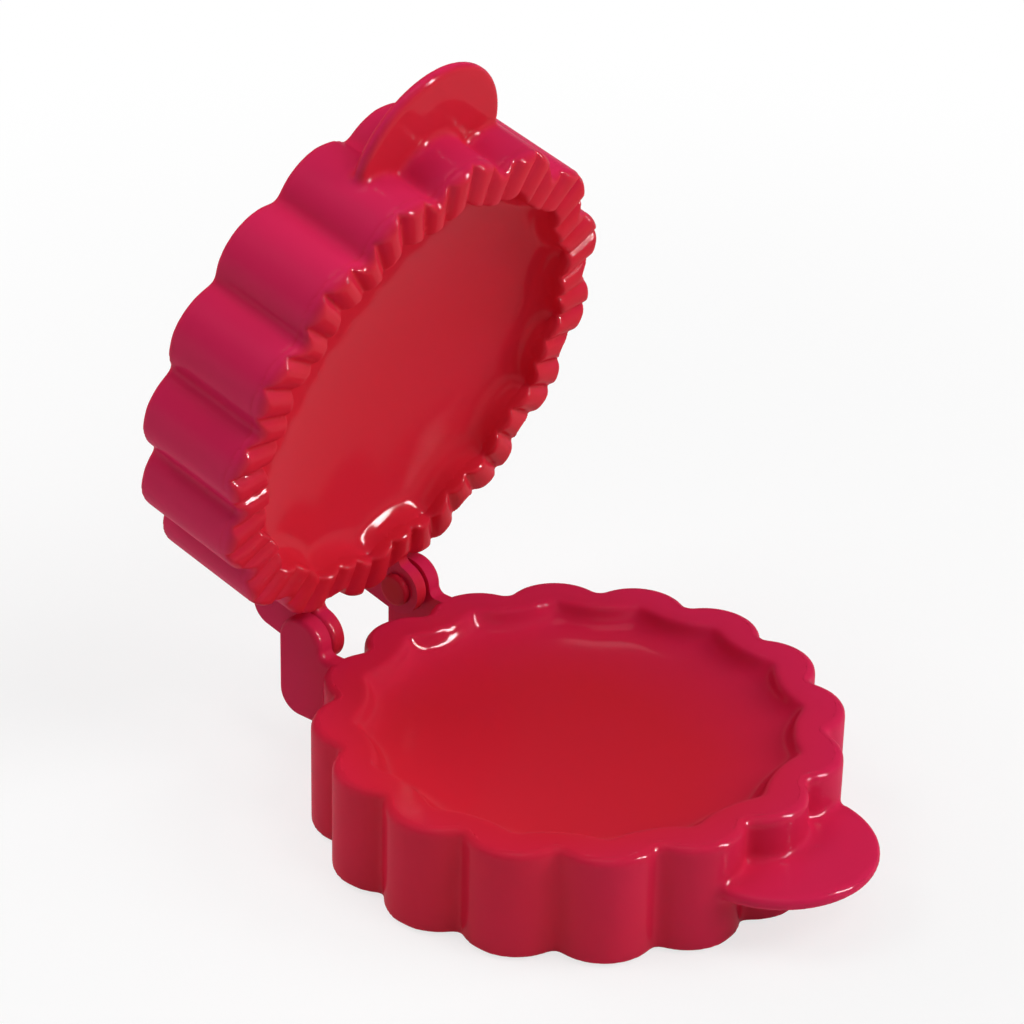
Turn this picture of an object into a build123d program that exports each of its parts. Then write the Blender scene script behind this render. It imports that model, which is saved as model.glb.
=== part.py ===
from build123d import *
from math import asin, atan, cos, degrees, radians, sin, sqrt, tan
import os

# Empanada press: two scalloped half shells on a two-pin hinge, each with a finger tab.
# +Z is up, the base stands on z = 0, its axis is Z, the tabs point to -Y and the hinge is at +Y.
# Each half is drawn from its rim plane, called its land: the base's faces up, the lid's faces the base.

# scalloped outline
lobes = 16
crest_radius = 50.0
notch_share = 0.912  # of the crest radius
notch_round = 1.8

# half shells
base_height = 21.8
lid_height = 21.3
skirt_wall = 2.0
land_thickness = 2.0
base_edge_round = 1.5
foot_round = 0.4

# dough cavities
cavity_corner_share = 0.84  # of the crest radius
cavity_bulge_share = 0.79  # of the crest radius
cavity_corner_round = 1.6
base_mouth_round = 0.5
dish_wall = 2.0
base_wall_depth = 3.4
base_bowl_depth = 7.0
base_floor_round = 1.5
lid_wall_depth = 2.9
lid_bowl_depth = 12.0
lid_floor_round = 1.5

# crimping ridges on the lid's land
ridges_per_lobe = 3
ridge_height = 2.5
groove_depth = 2.2
ridge_outer_round = 2.0
ridge_inner_round = 1.0

# finger tabs
tab_radius = 19.1
tab_reach = 14.3
tab_drop = 8.8
tab_thickness = 2.5
tab_edge_round = 1.1

# hinge
closed_gap = 2.8
open_angle = 74.9
hinge_reach = 4.3
lug_radius = 5.3
lug_reach = 14.8
lug_corner_radius = 5.0
lug_toe_radius = 1.5
lug_edge_round = 1.2
base_lug_outside = 18.0
base_lug_thickness = 3.7
lid_lug_thickness = 3.3
lug_side_gap = 0.3

# hinge pins
pin_radius = 2.0
pin_running_gap = 0.06
pin_bite = 2.2
pin_head_radius = 3.3
pin_head_thickness = 1.2
pin_head_round = 0.7
pin_head_gap = 0.1

# what follows from these
lobe_angle = 360 / lobes
notch_radius = notch_share * crest_radius
cavity_corner_radius = cavity_corner_share * crest_radius
cavity_bulge_radius = cavity_bulge_share * crest_radius
tab_centre = crest_radius + tab_reach - tab_radius
hinge_y = crest_radius + hinge_reach
axis_lift = closed_gap / 2
base_lug_inside = base_lug_outside - base_lug_thickness
lid_lug_outside = base_lug_inside - lug_side_gap
lid_lug_inside = lid_lug_outside - lid_lug_thickness
hinge_axis = (0, hinge_y, base_height + axis_lift)

base_land = Plane.XY.offset(base_height)
lid_swing = Location(hinge_axis) * Location((0, 0, 0), (-open_angle, 0, 0))
lid_land = Plane(lid_swing * Location((0, -hinge_y, axis_lift), (0, 180, 0)))


def polar(radius, angle):
    """A point in the land plane, its angle counted from the tab's direction."""
    return (radius * sin(radians(angle)), -radius * cos(radians(angle)))


def scalloped(corner_radius, middle_radius, corner_angle, rounding, growth=0):
    """A closed ring of equal arcs with rounded corners, or a ring parallel to it, larger by growth."""
    half = radians(lobe_angle / 2)
    bulge = 1 if middle_radius > corner_radius else -1
    centre = (corner_radius**2 - middle_radius**2) / (2 * (corner_radius * cos(half) - middle_radius))
    middle = middle_radius + growth
    spread = sqrt((middle - centre) ** 2 - (centre * sin(half)) ** 2)
    corner = centre * cos(half) + bulge * spread
    with BuildSketch() as ring:
        with BuildLine():
            for lobe in range(lobes):
                start = corner_angle + lobe * lobe_angle
                ThreePointArc(
                    polar(corner, start),
                    polar(middle, start + lobe_angle / 2),
                    polar(corner, start + lobe_angle),
                )
        make_face()
        fillet(ring.vertices(), radius=rounding - bulge * growth)
    return ring.sketch


outline_shape = (notch_radius, crest_radius, -lobe_angle / 2, notch_round)
cavity_shape = (cavity_corner_radius, cavity_bulge_radius, 0, cavity_corner_round)
outline = scalloped(*outline_shape)
skirt_inside = scalloped(*outline_shape, growth=-skirt_wall)
cavity = scalloped(*cavity_shape)
dish_outside = scalloped(*cavity_shape, growth=dish_wall)


def block(land, height, edge_round):
    """A half shell's outside as a solid block, with its top edge rounded where asked."""
    with BuildPart() as solid:
        with BuildSketch(land.offset(-height)):
            add(outline)
        extrude(amount=height)
        if edge_round:
            top = solid.faces().sort_by(Axis(land.origin, land.z_dir))[-1]
            fillet(top.edges(), radius=edge_round)
    return solid.part


def skirt(land, height, edge_round):
    """The scalloped wall, open at both ends, with its outer top edge level with the land."""
    with BuildPart() as wall:
        add(block(land, height, edge_round))
        with BuildSketch(land.offset(-height)):
            add(skirt_inside)
        extrude(amount=height, mode=Mode.SUBTRACT)
        foot = wall.faces().sort_by(Axis(land.origin, land.z_dir))[0]
        fillet(foot.outer_wire().edges(), radius=foot_round)
    return wall.part


def rim(land, mouth_round):
    """The flat plate inside the top of the skirt, open over the dish."""
    with BuildPart() as plate:
        with BuildSketch(land):
            add(skirt_inside)
            add(cavity, mode=Mode.SUBTRACT)
        extrude(amount=-land_thickness)
        if mouth_round:
            top = plate.faces().sort_by(Axis(land.origin, land.z_dir))[-1]
            fillet(top.inner_wires()[0].edges(), radius=mouth_round)
    return plate.part


def bowl(profile, land, wall_depth, bowl_depth, floor_round, growth=0):
    """The space below the land inside a profile, closed by a domed floor, or a larger one by growth."""
    rise = bowl_depth - wall_depth
    floor_radius = (cavity_corner_radius**2 + rise**2) / (2 * rise)
    with BuildPart() as space:
        with BuildSketch(land.offset(-land_thickness)):
            add(profile)
        extrude(amount=-bowl_depth - growth)
        with Locations(land.offset(floor_radius - bowl_depth).location):
            Sphere(floor_radius + growth, rotation=(0, -90, 0), mode=Mode.INTERSECT)
        floor = space.faces().filter_by(GeomType.SPHERE)[0]
        fillet(floor.edges(), radius=floor_round + growth)
    return space.part


def dish(land, wall_depth, bowl_depth, floor_round):
    """The cup that hangs below the land and holds the dough."""
    with BuildPart() as cup:
        add(bowl(dish_outside, land, wall_depth, bowl_depth, floor_round, dish_wall))
        add(bowl(cavity, land, wall_depth, bowl_depth, floor_round), mode=Mode.SUBTRACT)
    return cup.part


def crimp_ring(land):
    """Radial ridges with round crests, each a cone whose top line is level."""
    pitch = lobe_angle / ridges_per_lobe
    half_pitch = crest_radius * sin(radians(pitch / 2))
    crest_curve = (half_pitch**2 + groove_depth**2) / (2 * groove_depth)
    half_angle = atan(2 * crest_curve / crest_radius) / 2
    near = cavity_bulge_radius / 2
    far = crest_radius + crest_curve
    tilt = Location((0, 0, ridge_height)) * Location((0, 0, 0), (degrees(half_angle) - 90, 0, 0))
    with BuildPart() as ridges:
        with Locations(land.location):
            with PolarLocations(0, lobes * ridges_per_lobe, start_angle=pitch / 2):
                with Locations(tilt * Location((0, 0, -near))):
                    Cone(
                        far * tan(half_angle),
                        near * tan(half_angle),
                        far - near,
                        align=(Align.CENTER, Align.CENTER, Align.MAX),
                    )
    with BuildPart() as ring:
        with BuildSketch(land):
            add(outline)
            add(cavity, mode=Mode.SUBTRACT)
        extrude(amount=ridge_height)
        top = ring.faces().sort_by(Axis(land.origin, land.z_dir))[-1]
        fillet(top.outer_wire().edges(), radius=ridge_outer_round)
        top = ring.faces().sort_by(Axis(land.origin, land.z_dir))[-1]
        fillet(top.inner_wires()[0].edges(), radius=ridge_inner_round)
        add(ridges.part, mode=Mode.INTERSECT)
    return ring.part


def finger_tab(land, height, edge_round):
    """A round plate on the skirt's front, with its free edge rounded."""
    with BuildPart() as tab:
        with BuildSketch(land.offset(-tab_drop)):
            with Locations((0, -tab_centre)):
                Circle(tab_radius)
        extrude(amount=-tab_thickness)
        fillet(tab.edges(), radius=tab_edge_round)
        add(block(land, height, edge_round), mode=Mode.SUBTRACT)
    return tab.part


def hinge_lug(land, height, edge_round, side, inside, thickness, bore_radius, bore_depth):
    """A plate on the skirt's back, round about the hinge axis; side is the sign of its place on X."""
    turned = side * land.x_dir.X
    foot = land.from_local_coords((turned * inside, hinge_y, axis_lift))
    lug_plane = Plane(foot, x_dir=land.y_dir, z_dir=land.x_dir)
    root = hinge_y - notch_radius + lug_edge_round
    bottom = axis_lift + lug_reach
    corner_u = lug_radius - lug_corner_radius
    toe_reach = lug_radius + lug_toe_radius
    toe_angle = degrees(asin((axis_lift - lug_toe_radius) / toe_reach))
    toe_u = -toe_reach * cos(radians(toe_angle))
    with BuildPart() as lug:
        with BuildSketch(lug_plane):
            with BuildLine():
                CenterArc((toe_u, lug_toe_radius - axis_lift), lug_toe_radius, -90, 90 + toe_angle)
                CenterArc((0, 0), lug_radius, 180 + toe_angle, -180 - toe_angle)
                Line((lug_radius, 0), (lug_radius, lug_corner_radius - bottom))
                CenterArc((corner_u, lug_corner_radius - bottom), lug_corner_radius, 0, -90)
                Polyline((corner_u, -bottom), (-root, -bottom), (-root, -axis_lift), (toe_u, -axis_lift))
            make_face()
        extrude(amount=turned * thickness)
        outer_face = lug.faces().sort_by(Axis(lug_plane.origin, lug_plane.z_dir * turned))[-1]
        fillet(outer_face.edges(), radius=lug_edge_round)
        with BuildSketch(lug_plane):
            Circle(bore_radius)
        extrude(amount=turned * bore_depth, mode=Mode.SUBTRACT)
        add(block(land, height, edge_round), mode=Mode.SUBTRACT)
    return lug.part


def hinge_pin(side):
    """A pin pressed into the base's lug, with a domed head inside the lid's lug."""
    head_seat = lid_lug_inside - pin_head_gap
    pin_plane = Plane((side * head_seat, hinge_axis[1], hinge_axis[2]), z_dir=(side, 0, 0))
    with BuildPart() as pin:
        with BuildSketch(pin_plane):
            Circle(pin_radius)
        extrude(amount=base_lug_inside + pin_bite - head_seat)
        with BuildSketch(pin_plane):
            Circle(pin_head_radius)
        extrude(amount=-pin_head_thickness)
        fillet(pin.edges().sort_by(Axis(pin_plane.origin, pin_plane.z_dir))[0], radius=pin_head_round)
    return pin.part


halves = {
    "base": (base_land, base_height, base_edge_round),
    "lid": (lid_land, lid_height, 0),
}
mouth_rounds = {"base": base_mouth_round, "lid": 0}
dishes = {
    "base": (base_wall_depth, base_bowl_depth, base_floor_round),
    "lid": (lid_wall_depth, lid_bowl_depth, lid_floor_round),
}
lugs = {
    "base": (base_lug_inside, base_lug_thickness, pin_radius, pin_bite),
    "lid": (lid_lug_inside, lid_lug_thickness, pin_radius + pin_running_gap, lid_lug_thickness),
}
sides = {"left": -1, "right": 1}

parts = {}
for half, shell in halves.items():
    parts[half + "_skirt"] = skirt(*shell)
    parts[half + "_rim"] = rim(shell[0], mouth_rounds[half])
    parts[half + "_dish"] = dish(shell[0], *dishes[half])
    parts[half + "_finger_tab"] = finger_tab(*shell)
    for name, side in sides.items():
        parts[half + "_hinge_lug_" + name] = hinge_lug(*shell, side, *lugs[half])
parts["lid_crimp_ring"] = crimp_ring(lid_land)
for name, side in sides.items():
    parts["hinge_pin_" + name] = hinge_pin(side)

os.makedirs("parts", exist_ok=True)
for name, part in parts.items():
    part.label = name
    export_step(part, "parts/" + name + ".step")
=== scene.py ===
import math

import bmesh
import bpy
from mathutils import Matrix, Vector


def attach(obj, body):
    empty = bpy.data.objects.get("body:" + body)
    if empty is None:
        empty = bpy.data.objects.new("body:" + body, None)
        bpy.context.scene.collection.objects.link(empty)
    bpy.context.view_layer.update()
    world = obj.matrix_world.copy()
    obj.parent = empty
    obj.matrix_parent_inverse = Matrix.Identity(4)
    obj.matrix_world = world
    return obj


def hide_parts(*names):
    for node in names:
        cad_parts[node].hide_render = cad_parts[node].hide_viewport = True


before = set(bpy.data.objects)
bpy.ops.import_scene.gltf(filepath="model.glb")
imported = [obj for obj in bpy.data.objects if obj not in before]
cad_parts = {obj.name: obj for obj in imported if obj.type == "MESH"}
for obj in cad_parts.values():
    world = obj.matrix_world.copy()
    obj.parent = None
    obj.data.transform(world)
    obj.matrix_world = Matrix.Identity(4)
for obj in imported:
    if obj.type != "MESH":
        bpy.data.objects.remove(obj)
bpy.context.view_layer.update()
print("frame loaded,", len(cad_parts), "nodes")


# red polypropylene: the plain red stays inside, and the pinker, slightly lighter colour towards the
# outer wall is painted sheen
basePlasticLook = {
    "plainRedColour": (0.63, 0.018, 0.036, 1),
    "paintedSheenColour": (0.66, 0.018, 0.082, 1),
    "axisPoint": (-0.012, 0, 0.02),   # left of the middle, so the painted sheen grows towards the right
    "axis": (0, 0, 1),
    # the painted sheen starts at the first radius from the axis and is full at the second
    "sheenStartRadius": 0.026,
    "sheenFullRadius": 0.060,
    "sheenFreeFaceShare": 0,   # how far faces square to the axis stay free of the painted sheen
    "cloudSize": 0.024,
    "cloudShare": 0.35,   # how far the clouds push the two colours into each other
    "roughness": 0.09,
    "roughnessSpread": 0.06,
    "specular": 0,   # the gloss lies in the thin clear skin that a polished mould leaves
    "skinWeight": 0.15,
    "skinRoughness": 0.09,
    "rippleHeight": 0.00003,
}
# shared by all three plastics
grain = {
    "cloudDetail": 2,
    "rippleScale": 90,
    "rippleDetail": 3,
}
lidPlasticLook = {
    **basePlasticLook,
    # the lid's outer wall carries a stronger painted sheen, kept off the faces square to the lid's
    # axis
    "paintedSheenColour": (0.66, 0.020, 0.092, 1),
    "axisPoint": (0, 0.0415, 0.0760),   # the lid's own axis while it stands open
    "axis": (0, -0.9655, -0.2605),
    "sheenStartRadius": 0.040,
    "sheenFullRadius": 0.048,
    "sheenFreeFaceShare": 1,
}
pinPlasticLook = {
    **basePlasticLook,
    # the pins carry only a faint painted sheen, growing outward from the pin's axis
    "plainRedColour": (0.58, 0.017, 0.034, 1),
    "paintedSheenColour": (0.60, 0.017, 0.045, 1),
    "axisPoint": (0, 0.0543, 0.0232),
    "axis": (1, 0, 0),
    "sheenStartRadius": 0.001,
    "sheenFullRadius": 0.003,
}


def addNode(tree, kind, **settings):
    node = tree.nodes.new(kind)
    for name, value in settings.items():
        setattr(node, name, value)
    return node


def wire(tree, source, target):
    tree.links.new(source, target)


def makeCloudAndSheenGroup():
    group = bpy.data.node_groups.new("cloudsAndPaintedSheen", "ShaderNodeTree")
    sockets = group.interface
    for name, kind in (("Plain Red Colour", "Color"), ("Painted Sheen Colour", "Color"), ("Axis Point", "Vector"),
                       ("Axis", "Vector"), ("Sheen Start Radius", "Float"), ("Sheen Full Radius", "Float"),
                       ("Sheen Free Face Share", "Float"), ("Cloud Size", "Float"), ("Cloud Share", "Float"),
                       ("Roughness", "Float"), ("Spread", "Float")):
        sockets.new_socket(name, in_out="INPUT", socket_type="NodeSocket" + kind)
    for name, kind in (("Colour", "Color"), ("Roughness", "Float"), ("Ripple", "Float")):
        sockets.new_socket(name, in_out="OUTPUT", socket_type="NodeSocket" + kind)
    start = addNode(group, "NodeGroupInput")
    end = addNode(group, "NodeGroupOutput")
    place = addNode(group, "ShaderNodeTexCoord")

    # painted sheen mask: grows with the distance from the axis and is kept off faces square to the
    # axis
    fromAxis = addNode(group, "ShaderNodeVectorMath", operation="SUBTRACT")
    wire(group, place.outputs["Object"], fromAxis.inputs[0])
    wire(group, start.outputs["Axis Point"], fromAxis.inputs[1])
    across = addNode(group, "ShaderNodeVectorMath", operation="CROSS_PRODUCT")
    wire(group, fromAxis.outputs[0], across.inputs[0])
    wire(group, start.outputs["Axis"], across.inputs[1])
    radius = addNode(group, "ShaderNodeVectorMath", operation="LENGTH")
    wire(group, across.outputs[0], radius.inputs[0])
    outward = addNode(group, "ShaderNodeMapRange", interpolation_type="SMOOTHSTEP")
    wire(group, radius.outputs["Value"], outward.inputs["Value"])
    wire(group, start.outputs["Sheen Start Radius"], outward.inputs["From Min"])
    wire(group, start.outputs["Sheen Full Radius"], outward.inputs["From Max"])

    facing = addNode(group, "ShaderNodeVectorMath", operation="DOT_PRODUCT")
    wire(group, place.outputs["Normal"], facing.inputs[0])
    wire(group, start.outputs["Axis"], facing.inputs[1])
    square = addNode(group, "ShaderNodeMath", operation="ABSOLUTE")
    wire(group, facing.outputs["Value"], square.inputs[0])
    kept = addNode(group, "ShaderNodeMath", operation="MULTIPLY")
    wire(group, square.outputs[0], kept.inputs[0])
    wire(group, start.outputs["Sheen Free Face Share"], kept.inputs[1])
    sideways = addNode(group, "ShaderNodeMath", operation="SUBTRACT", use_clamp=True)
    sideways.inputs[0].default_value = 1
    wire(group, kept.outputs[0], sideways.inputs[1])
    paintedSheenMask = addNode(group, "ShaderNodeMath", operation="MULTIPLY")
    wire(group, outward.outputs[0], paintedSheenMask.inputs[0])
    wire(group, sideways.outputs[0], paintedSheenMask.inputs[1])

    scale = addNode(group, "ShaderNodeMath", operation="DIVIDE")
    scale.inputs[0].default_value = 1
    wire(group, start.outputs["Cloud Size"], scale.inputs[1])
    clouds = addNode(group, "ShaderNodeTexNoise")
    clouds.inputs["Detail"].default_value = grain["cloudDetail"]
    wire(group, place.outputs["Object"], clouds.inputs["Vector"])
    wire(group, scale.outputs[0], clouds.inputs["Scale"])
    cloudLift = addNode(group, "ShaderNodeMath", operation="SUBTRACT")
    cloudLift.inputs[1].default_value = 0.5
    wire(group, clouds.outputs["Fac"], cloudLift.inputs[0])
    share = addNode(group, "ShaderNodeMath", operation="MULTIPLY_ADD", use_clamp=True)
    wire(group, cloudLift.outputs[0], share.inputs[0])
    wire(group, start.outputs["Cloud Share"], share.inputs[1])
    wire(group, paintedSheenMask.outputs[0], share.inputs[2])
    # mixes the plain red with the painted sheen colour, stirred by the clouds
    dyeAndSheen = addNode(group, "ShaderNodeMix", data_type="RGBA")
    wire(group, share.outputs[0], dyeAndSheen.inputs["Factor"])
    wire(group, start.outputs["Plain Red Colour"], dyeAndSheen.inputs[6])
    wire(group, start.outputs["Painted Sheen Colour"], dyeAndSheen.inputs[7])
    wire(group, dyeAndSheen.outputs[2], end.inputs["Colour"])

    ripples = addNode(group, "ShaderNodeTexNoise")
    ripples.inputs["Scale"].default_value = grain["rippleScale"]
    ripples.inputs["Detail"].default_value = grain["rippleDetail"]
    wire(group, place.outputs["Object"], ripples.inputs["Vector"])
    centred = addNode(group, "ShaderNodeMath", operation="SUBTRACT")
    centred.inputs[1].default_value = 0.5
    wire(group, ripples.outputs["Fac"], centred.inputs[0])
    rough = addNode(group, "ShaderNodeMath", operation="MULTIPLY_ADD")
    wire(group, centred.outputs[0], rough.inputs[0])
    wire(group, start.outputs["Spread"], rough.inputs[1])
    wire(group, start.outputs["Roughness"], rough.inputs[2])
    wire(group, rough.outputs[0], end.inputs["Roughness"])
    wire(group, ripples.outputs["Fac"], end.inputs["Ripple"])
    return group


cloudAndSheenGroup = makeCloudAndSheenGroup()


def makePlastic(name, look):
    material = bpy.data.materials.new(name)
    material.use_nodes = True
    tree = material.node_tree
    shader = tree.nodes["Principled BSDF"]
    # the group paints the sheen into the base colour and gives the roughness and ripples
    dyeAndSheen = addNode(tree, "ShaderNodeGroup", node_tree=cloudAndSheenGroup)
    for socket, value in (("Plain Red Colour", "plainRedColour"), ("Painted Sheen Colour", "paintedSheenColour"),
                          ("Axis Point", "axisPoint"), ("Axis", "axis"),
                          ("Sheen Start Radius", "sheenStartRadius"), ("Sheen Full Radius", "sheenFullRadius"),
                          ("Sheen Free Face Share", "sheenFreeFaceShare"),
                          ("Cloud Size", "cloudSize"), ("Cloud Share", "cloudShare"),
                          ("Roughness", "roughness"), ("Spread", "roughnessSpread")):
        dyeAndSheen.inputs[socket].default_value = look[value]
    wire(tree, dyeAndSheen.outputs["Colour"], shader.inputs["Base Color"])
    wire(tree, dyeAndSheen.outputs["Roughness"], shader.inputs["Roughness"])
    bump = addNode(tree, "ShaderNodeBump")
    bump.inputs["Distance"].default_value = look["rippleHeight"]
    wire(tree, dyeAndSheen.outputs["Ripple"], bump.inputs["Height"])
    wire(tree, bump.outputs["Normal"], shader.inputs["Normal"])
    shader.inputs["Specular IOR Level"].default_value = look["specular"]
    shader.inputs["Coat Weight"].default_value = look["skinWeight"]
    shader.inputs["Coat Roughness"].default_value = look["skinRoughness"]
    return material


plastics = {
    "base": makePlastic("basePlastic", basePlasticLook),
    "lid": makePlastic("lidPlastic", lidPlasticLook),
    "hinge": makePlastic("pinPlastic", pinPlasticLook),
}
for name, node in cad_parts.items():
    node.data.materials.clear()
    node.data.materials.append(plastics[name.split("_")[0]])
print("plastic ready")


# where each half's plate lies, and which way it faces
halves = {
    "base": {"top": (0, 0, 0.0218), "up": (0, 0, 1)},
    "lid": {"top": (0, 0.04151, 0.07599), "up": (0, -0.96547, -0.26050)},
}


mergeDistance = 0.000001
smoothFactor = 0.5


def halfMatrix(half):
    turn = Vector(halves[half]["up"]).to_track_quat("Z", "Y").to_matrix().to_4x4()
    return Matrix.Translation(halves[half]["top"]) @ turn


def startShape(half, parts):
    shape = bmesh.new()
    for part in parts:
        shape.from_mesh(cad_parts[half + "_" + part].data)
    bmesh.ops.remove_doubles(shape, verts=shape.verts, dist=mergeDistance)
    bmesh.ops.transform(shape, matrix=halfMatrix(half).inverted(), verts=shape.verts)
    return shape


def voxelPiece(name, shape, voxel):
    mesh = bpy.data.meshes.new(name)
    shape.to_mesh(mesh)
    shape.free()
    piece = bpy.data.objects.new(name, mesh)
    bpy.context.scene.collection.objects.link(piece)
    remesh = piece.modifiers.new("remesh", "REMESH")
    remesh.mode = "VOXEL"
    remesh.voxel_size = voxel
    bpy.context.view_layer.update()
    even = bmesh.new()
    even.from_mesh(piece.evaluated_get(bpy.context.evaluated_depsgraph_get()).to_mesh())
    even.normal_update()
    piece.modifiers.clear()
    return piece, even


def soften(shape, verts, passes):
    for turn in range(passes):
        bmesh.ops.smooth_vert(shape, verts=verts, factor=smoothFactor,
                              use_axis_x=True, use_axis_y=True, use_axis_z=True)


def finishPiece(piece, shape, half, replaced):
    bmesh.ops.transform(shape, matrix=halfMatrix(half), verts=shape.verts)
    for face in shape.faces:
        face.smooth = True
    shape.to_mesh(piece.data)
    shape.free()
    piece.data.materials.append(plastics[half])
    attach(piece, half)
    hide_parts(*(half + "_" + part for part in replaced))
    print(piece.name, "ready,", len(piece.data.polygons), "faces")


# the scalloped wall of each half with its finger tab, run together at the tab's root
shell = {
    "voxel": 0.0005,
    "passes": 3,
    "fixedBand": 0.0012,   # the top of the wall stays as it is where the ridges or plate meet it
    "tabHalfWidth": 0.021,
    "rootReach": 0.0515,
    "rootTop": -0.0070,
    "rootBottom": -0.0131,
    "rootPasses": 12,
}


def makeShell(half):
    parts = ("skirt", "finger_tab")
    piece, shape = voxelPiece(half + "Shell", startShape(half, parts), shell["voxel"])
    free = [vert for vert in shape.verts if vert.co.z < -shell["fixedBand"]]
    soften(shape, free, shell["passes"])
    root = [vert for vert in free
            if abs(vert.co.x) < shell["tabHalfWidth"] and vert.co.y > 0
            and vert.co.xy.length < shell["rootReach"]
            and shell["rootBottom"] < vert.co.z < shell["rootTop"]]
    soften(shape, root, shell["rootPasses"])
    finishPiece(piece, shape, half, parts)


# the dished face of each half, with the moulding's soft blends where plate, wall and floor meet
bed = {
    "voxel": 0.0005,
    "borderRadius": 0.0432,   # outside this the plate only runs into the skirt
    "borderOverlap": 0.0005,
    "borderDrop": 0.000004,   # keeps the plate's edge just under the skirt's top
    "flatBand": 0.0004,
    "facing": 0.3,   # how far a point of the cavity's surface has to face up or inwards
    "floorPasses": {"base": 130, "lid": 70},
    "mouthPasses": {"base": 14, "lid": 5},
    "softFloorBelow": {"base": 0.0012, "lid": 0.0006},
    "softMouthBelow": {"base": -0.001, "lid": 0.0004},
}


def facesCavity(vert):
    radius = vert.co.xy.length
    inward = -vert.normal.xy.dot(vert.co.xy.normalized()) if radius > bed["voxel"] else 0
    return radius < bed["borderRadius"] and max(vert.normal.z, inward) > bed["facing"]


def makeBed(half):
    parts = ("rim", "dish")
    shape = startShape(half, parts)
    for vert in shape.verts:
        if vert.co.xy.length > bed["borderRadius"]:
            vert.co.xy += vert.co.xy.normalized() * bed["borderOverlap"]
    piece, shape = voxelPiece(half + "Bed", shape, bed["voxel"])
    for vert in shape.verts:
        if vert.co.xy.length > bed["borderRadius"] and vert.co.z > -bed["flatBand"]:
            vert.co.z = -bed["borderDrop"]
    cavity = [vert for vert in shape.verts if facesCavity(vert)]
    floor = [vert for vert in cavity if vert.co.z < -bed["softFloorBelow"][half]]
    mouth = [vert for vert in cavity if vert.co.z < -bed["softMouthBelow"][half]]
    soften(shape, floor, bed["floorPasses"][half])
    soften(shape, mouth, bed["mouthPasses"][half])
    finishPiece(piece, shape, half, parts)


# the ring of crimping ridges, its crests and grooves softened as the mould leaves them
ridges = {
    "voxel": 0.00038,
    "footDepth": 0.0012,   # how far the ring's foot runs down inside the wall
    "footInset": 0.00006,
    "middleRadius": 0.0432,
    "softAbove": 0.0004,
    "passes": 4,
}


def makeRidges():
    shape = startShape("lid", ("crimp_ring",))
    for vert in shape.verts:
        if vert.co.z < ridges["footInset"]:
            vert.co.z -= ridges["footDepth"]
    piece, shape = voxelPiece("lidRidges", shape, ridges["voxel"])
    for vert in shape.verts:
        if vert.co.z < 0:
            side = 1 if vert.co.xy.length < ridges["middleRadius"] else -1
            vert.co.xy += vert.co.xy.normalized() * side * ridges["footInset"]
    crests = [vert for vert in shape.verts if vert.co.z > ridges["softAbove"]]
    soften(shape, crests, ridges["passes"])
    finishPiece(piece, shape, "lid", ("crimp_ring",))


for half in halves:
    makeShell(half)
    makeBed(half)
makeRidges()


camera = {
    "place": (-0.46047, -0.35214, 0.37815),
    "aim": (-0.02164, -0.00009, 0.07302),
    "roll": 1.343,   # degrees about the view
    "lens": 128.47,
    "sensor": 36.0,
    "reach": 20,
}


def aimFrom(place, aim):
    line = Vector(aim) - Vector(place)
    return Matrix.Translation(place) @ line.to_track_quat("-Z", "Y").to_matrix().to_4x4()


def makeCamera():
    data = bpy.data.cameras.new("camera")
    data.sensor_width = camera["sensor"]
    data.lens = camera["lens"]
    data.clip_end = camera["reach"]
    eye = bpy.data.objects.new("camera", data)
    bpy.context.scene.collection.objects.link(eye)
    roll = Matrix.Rotation(math.radians(camera["roll"]), 4, "Z")
    eye.matrix_world = aimFrom(camera["place"], camera["aim"]) @ roll
    bpy.context.scene.camera = eye


studio = {
    "floorSize": 8,
    "floorDrop": 0.0003,
    "floorColour": (0.93, 0.93, 0.93, 1),
    "floorRoughness": 0.9,
    "shadowReach": (0.12, 0.40),   # the floor's own shade fades into plain white between these
    "nearWhite": 0.72,   # share of plain white beside the object
    "worldStrength": 0.05,
    "backgroundStrength": 1,
    "ceilingStrength": 0.2,
    "ceilingStart": (0.02, 0.28),   # height of the direction where white turns into ceiling
}


def makeSeenMask(tree):
    path = addNode(tree, "ShaderNodeLightPath")
    cameraOrGlossy = addNode(tree, "ShaderNodeMath", operation="MAXIMUM")
    seen = addNode(tree, "ShaderNodeMath", operation="MAXIMUM")
    wire(tree, path.outputs["Is Camera Ray"], cameraOrGlossy.inputs[0])
    wire(tree, path.outputs["Is Glossy Ray"], cameraOrGlossy.inputs[1])
    wire(tree, cameraOrGlossy.outputs[0], seen.inputs[0])
    wire(tree, path.outputs["Is Transmission Ray"], seen.inputs[1])
    return seen.outputs[0]


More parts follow.
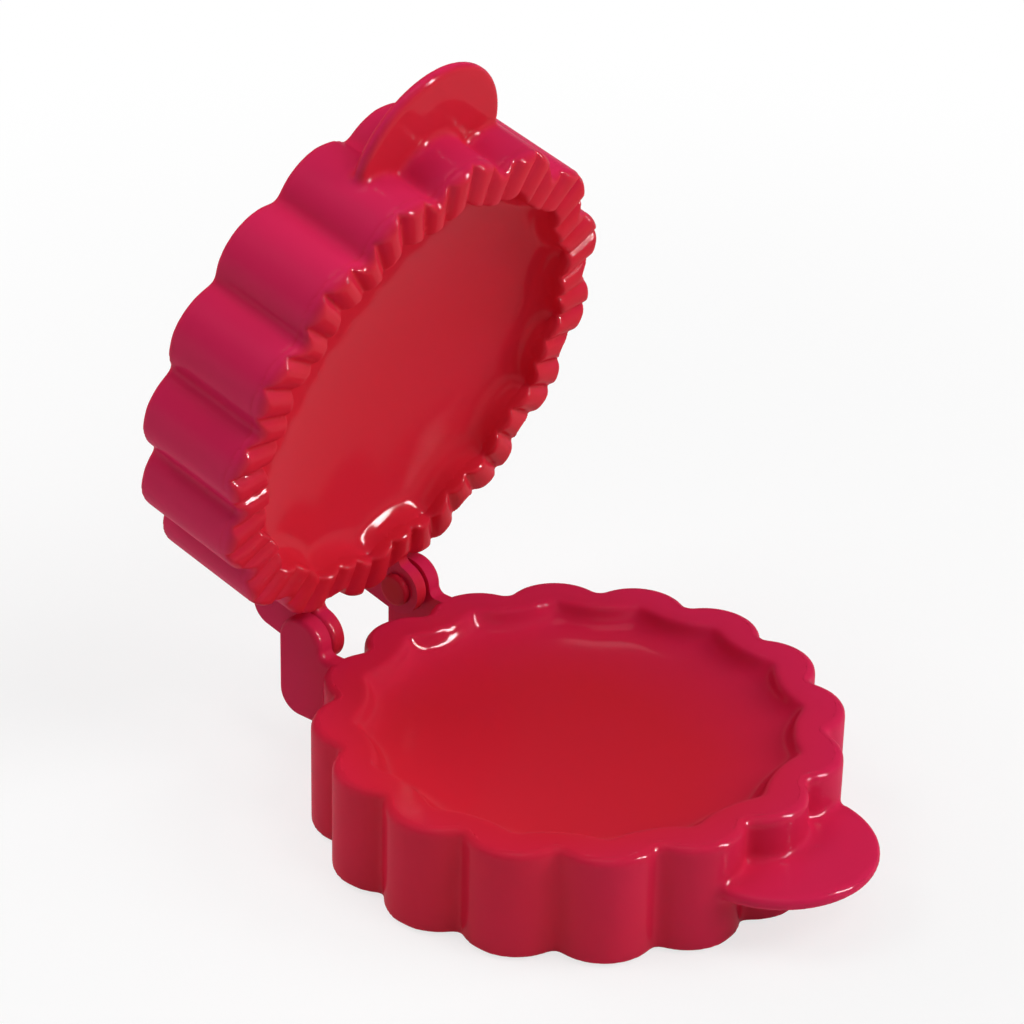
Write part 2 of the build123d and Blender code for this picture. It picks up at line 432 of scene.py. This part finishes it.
def makeFloor():
    mesh = bpy.data.meshes.new("floor")
    sheet = bmesh.new()
    bmesh.ops.create_grid(sheet, x_segments=1, y_segments=1, size=studio["floorSize"] / 2)
    bmesh.ops.translate(sheet, verts=sheet.verts, vec=(0, 0, -studio["floorDrop"]))
    sheet.to_mesh(mesh)
    sheet.free()
    floor = bpy.data.objects.new("floor", mesh)
    bpy.context.scene.collection.objects.link(floor)
    paper = bpy.data.materials.new("floorPaper")
    paper.use_nodes = True
    tree = paper.node_tree
    shader = tree.nodes["Principled BSDF"]
    shader.inputs["Base Color"].default_value = studio["floorColour"]
    shader.inputs["Roughness"].default_value = studio["floorRoughness"]
    shader.inputs["Specular IOR Level"].default_value = 0
    place = addNode(tree, "ShaderNodeTexCoord")
    distance = addNode(tree, "ShaderNodeVectorMath", operation="LENGTH")
    wire(tree, place.outputs["Object"], distance.inputs[0])
    far = addNode(tree, "ShaderNodeMapRange", interpolation_type="SMOOTHSTEP")
    nearEnd, farEnd = studio["shadowReach"]
    far.inputs["From Min"].default_value = nearEnd
    far.inputs["From Max"].default_value = farEnd
    far.inputs["To Min"].default_value = studio["nearWhite"]
    wire(tree, distance.outputs["Value"], far.inputs["Value"])
    white = addNode(tree, "ShaderNodeMath", operation="MULTIPLY")
    wire(tree, far.outputs[0], white.inputs[0])
    wire(tree, makeSeenMask(tree), white.inputs[1])
    glow = addNode(tree, "ShaderNodeEmission")
    mix = addNode(tree, "ShaderNodeMixShader")
    wire(tree, white.outputs[0], mix.inputs[0])
    wire(tree, shader.outputs[0], mix.inputs[1])
    wire(tree, glow.outputs[0], mix.inputs[2])
    wire(tree, mix.outputs[0], tree.nodes["Material Output"].inputs["Surface"])
    floor.data.materials.append(paper)


def makeWorld():
    world = bpy.context.scene.world or bpy.data.worlds.new("studio")
    bpy.context.scene.world = world
    world.use_nodes = True
    tree = world.node_tree
    tree.nodes.clear()
    direction = addNode(tree, "ShaderNodeTexCoord")
    height = addNode(tree, "ShaderNodeSeparateXYZ")
    wire(tree, direction.outputs["Generated"], height.inputs[0])
    walls = addNode(tree, "ShaderNodeMapRange", interpolation_type="SMOOTHSTEP")
    ceilingFoot, ceilingTop = studio["ceilingStart"]
    walls.inputs["From Min"].default_value = ceilingFoot
    walls.inputs["From Max"].default_value = ceilingTop
    walls.inputs["To Min"].default_value = studio["backgroundStrength"]
    walls.inputs["To Max"].default_value = studio["ceilingStrength"]
    wire(tree, height.outputs["Z"], walls.inputs["Value"])
    strength = addNode(tree, "ShaderNodeMapRange")
    strength.inputs["To Min"].default_value = studio["worldStrength"]
    wire(tree, walls.outputs[0], strength.inputs["To Max"])
    wire(tree, makeSeenMask(tree), strength.inputs["Value"])
    background = addNode(tree, "ShaderNodeBackground")
    wire(tree, strength.outputs[0], background.inputs["Strength"])
    out = addNode(tree, "ShaderNodeOutputWorld")
    wire(tree, background.outputs[0], out.inputs["Surface"])


# place is the angle from +X, the height angle and the distance from the aim; the gloss lamps only
# draw the bright lines in the plastic's skin, and the others set the level of light
lamps = {
    "key": {"place": (308, 28, 0.9), "size": 0.50, "power": 3.8, "matteOnly": True},
    "keyHigh": {"place": (272, 55, 0.9), "size": 0.40, "power": 2.2, "matteOnly": True},
    "sparkle": {"place": (299, 30, 0.9), "size": 0.11, "height": 0.60, "power": 30.0,
                "glossOnly": True},
    "back": {"place": (95, 38, 0.9), "size": 0.50, "power": 3.0, "matteOnly": True},
    "window": {"place": (39, 45, 0.9), "size": 0.05, "power": 0.03, "glossOnly": True},
    "left": {"place": (138, 55, 0.9), "size": 0.36, "power": 1.6, "matteOnly": True},
    "overhead": {"place": (0, 90, 0.9), "size": 0.40, "power": 0.9},
    "front": {"place": (225, 40, 0.9), "size": 0.40, "power": 0.4},
}
lampAim = (0, 0, 0.05)


def makeLamps():
    for name, lamp in lamps.items():
        data = bpy.data.lights.new(name, "AREA")
        data.shape = "RECTANGLE"
        data.size = lamp["size"]
        data.size_y = lamp.get("height", lamp["size"])
        data.energy = lamp["power"]
        light = bpy.data.objects.new(name, data)
        bpy.context.scene.collection.objects.link(light)
        turn, height, distance = lamp["place"]
        around = Matrix.Rotation(math.radians(turn), 3, "Z")
        upward = Matrix.Rotation(-math.radians(height), 3, "Y")
        place = Vector(lampAim) + around @ upward @ Vector((distance, 0, 0))
        light.matrix_world = aimFrom(place, lampAim)
        light.visible_diffuse = not lamp.get("glossOnly", False)
        light.visible_glossy = not lamp.get("matteOnly", False)


makeCamera()
makeFloor()
makeWorld()
makeLamps()
bpy.context.scene.view_settings.view_transform = "Standard"
print("studio ready")
